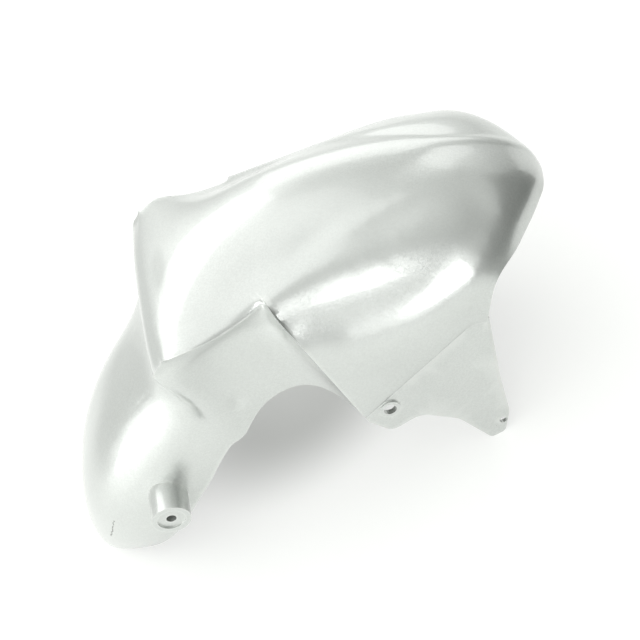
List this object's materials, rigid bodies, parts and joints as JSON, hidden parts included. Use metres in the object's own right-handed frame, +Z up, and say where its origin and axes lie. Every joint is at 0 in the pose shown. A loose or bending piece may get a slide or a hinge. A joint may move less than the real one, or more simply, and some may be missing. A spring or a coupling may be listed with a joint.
{
  "type": "motorcycle front mudguard",
  "caption": "Moulded front mudguard with a hooded front, hollows beside the fork legs, bolt-on side fins and a rounded tail with two bolt bosses.",
  "frame": {"origin": "on the plane that the mudguard stands on, below the centre of its outer box", "axes": "+X to the front of the motorcycle, +Y to its left, +Z up from the standing plane"},
  "size_m": [0.4998, 0.206, 0.2473],
  "materials": {
    "silver_paint": "glossy silver metallic paint on moulded plastic"
  },
  "bodies": {
    "root": {"mudguard": "silver_paint"}
  },
  "joints": []
}
